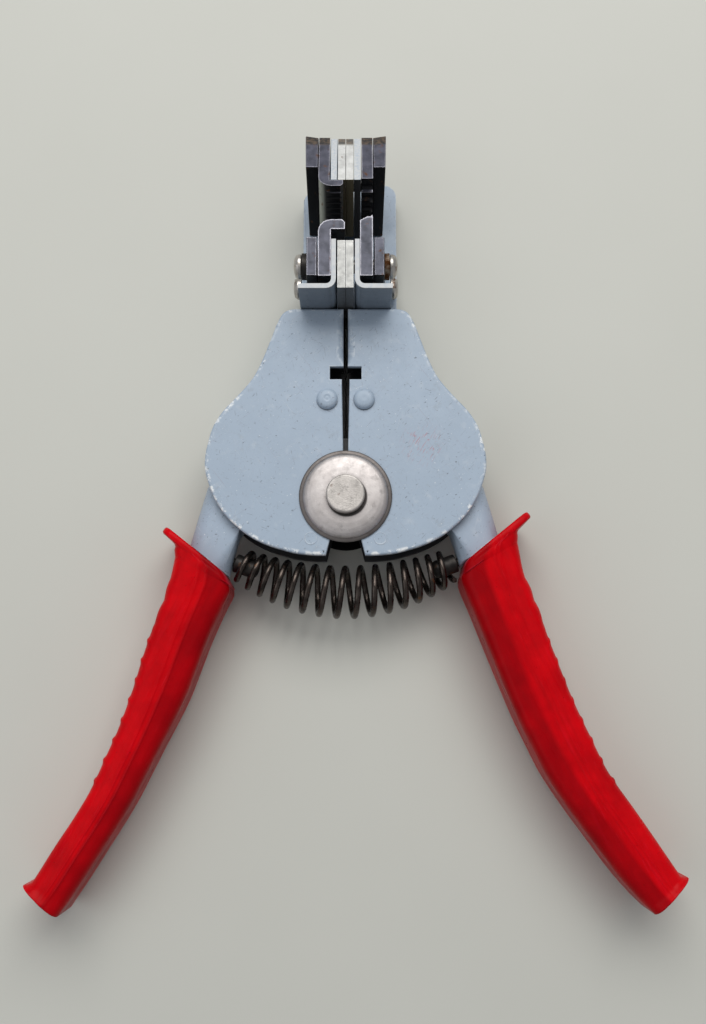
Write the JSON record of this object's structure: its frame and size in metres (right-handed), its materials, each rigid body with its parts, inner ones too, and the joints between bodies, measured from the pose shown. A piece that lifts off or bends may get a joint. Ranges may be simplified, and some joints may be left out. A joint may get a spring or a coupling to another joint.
{
  "type": "automatic wire stripper",
  "caption": "Self-opening wire stripper: two grey steel body halves and sprung red-gripped handles on a central rivet, with hinged gripping jaws and notched stripping blades.",
  "frame": {"origin": "centre of the flat rear face of the pivot rivet, which is the plane the tool lies on", "axes": "+Z along the pivot rivet towards the front cap, +Y from the pivot to the jaws, +X towards the blade side"},
  "size_m": [0.1454, 0.1757, 0.03],
  "materials": {
    "painted_sheet": "cool light grey paint, worn bright at the edges",
    "nickel_cap": "satin champagne nickel plating",
    "steel_screw": "dull zinc and nickel, rust spots",
    "black_oxide": "black oxide with polished edges",
    "bright_plate": "worn bright",
    "spring_wire": "oil-blackened spring steel, shiny",
    "red_grip": "glossy translucent red PVC"
  },
  "bodies": {
    "pivot": {"pivot_rivet": "nickel_cap", "front_cap": "nickel_cap", "rear_cap": "nickel_cap", "hub_bush": "steel_screw", "main_spring": "spring_wire", "closing_spring": "spring_wire"},
    "left_handle": {"left_lever": "painted_sheet", "left_spring_post": "steel_screw", "left_grip": "red_grip"},
    "left_body": {"left_front_plate": "painted_sheet", "left_rear_plate": "painted_sheet", "left_body_rivet": "painted_sheet", "left_stop_pin": "painted_sheet", "left_jaw_bracket": "painted_sheet", "left_lower_inner_plate": "bright_plate", "left_lower_side_plate": "black_oxide", "left_jaw_screw": "steel_screw", "left_screw_washer": "steel_screw", "left_hinge_pin": "steel_screw", "left_jaw_spring": "spring_wire", "lower_grip_jaw": "black_oxide"},
    "left_upper_jaw": {"left_upper_arm": "painted_sheet", "left_upper_inner_plate": "bright_plate", "left_upper_side_plate": "black_oxide", "left_upper_rivet": "bright_plate", "upper_grip_jaw": "black_oxide"},
    "right_handle": {"right_lever": "painted_sheet", "right_spring_post": "steel_screw", "right_grip": "red_grip"},
    "right_body": {"right_front_plate": "painted_sheet", "right_rear_plate": "painted_sheet", "right_body_rivet": "painted_sheet", "right_stop_pin": "painted_sheet", "right_jaw_bracket": "painted_sheet", "right_lower_inner_plate": "bright_plate", "right_lower_side_plate": "black_oxide", "right_jaw_screw": "steel_screw", "right_screw_washer": "steel_screw", "right_hinge_pin": "steel_screw", "right_jaw_spring": "spring_wire", "lower_blade": "black_oxide"},
    "right_upper_jaw": {"right_upper_arm": "painted_sheet", "right_upper_inner_plate": "bright_plate", "right_upper_side_plate": "black_oxide", "right_upper_rivet": "bright_plate", "upper_blade": "black_oxide"}
  },
  "joints": [
    {"name": "left_handle_close", "type": "hinge", "parent": "pivot", "child": "left_handle", "pos_m": [0, 0, 0.01], "axis": [0, 0, 1], "range_deg": [0, 25], "stiffness_Nm_per_rad": 1.5, "springref_deg": -5.73, "deforming": ["main_spring"]},
    {"name": "right_handle_close", "type": "hinge", "parent": "pivot", "child": "right_handle", "pos_m": [0, 0, 0.01], "axis": [0, 0, 1], "range_deg": [-25, 0], "stiffness_Nm_per_rad": 1.5, "springref_deg": 5.73},
    {"name": "left_body_spread", "type": "hinge", "parent": "pivot", "child": "left_body", "pos_m": [0, 0, 0.01], "axis": [0, 0, 1], "range_deg": [0, 10], "stiffness_Nm_per_rad": 1, "springref_deg": -5.73, "deforming": ["closing_spring"]},
    {"name": "right_body_spread", "type": "hinge", "parent": "pivot", "child": "right_body", "pos_m": [0, 0, 0.01], "axis": [0, 0, 1], "range_deg": [-10, 0], "stiffness_Nm_per_rad": 1, "springref_deg": 5.73},
    {"name": "left_jaw_close", "type": "hinge", "parent": "left_body", "child": "left_upper_jaw", "pos_m": [-0.006, 0.052, 0.008], "axis": [1, 0, 0], "range_deg": [0, 24], "stiffness_Nm_per_rad": 0.05, "springref_deg": -11.46, "deforming": ["left_jaw_spring"]},
    {"name": "right_jaw_close", "type": "hinge", "parent": "right_body", "child": "right_upper_jaw", "pos_m": [0.006, 0.052, 0.008], "axis": [1, 0, 0], "range_deg": [0, 24], "stiffness_Nm_per_rad": 0.05, "springref_deg": -11.46, "deforming": ["right_jaw_spring"]}
  ],
  "couplings": [
    {"joint": "right_handle_close", "follows": "left_handle_close", "ratio": -1},
    {"joint": "right_body_spread", "follows": "left_body_spread", "ratio": -1},
    {"joint": "left_jaw_close", "follows": "left_handle_close", "ratio": 0.96},
    {"joint": "right_jaw_close", "follows": "left_handle_close", "ratio": 0.96}
  ]
}
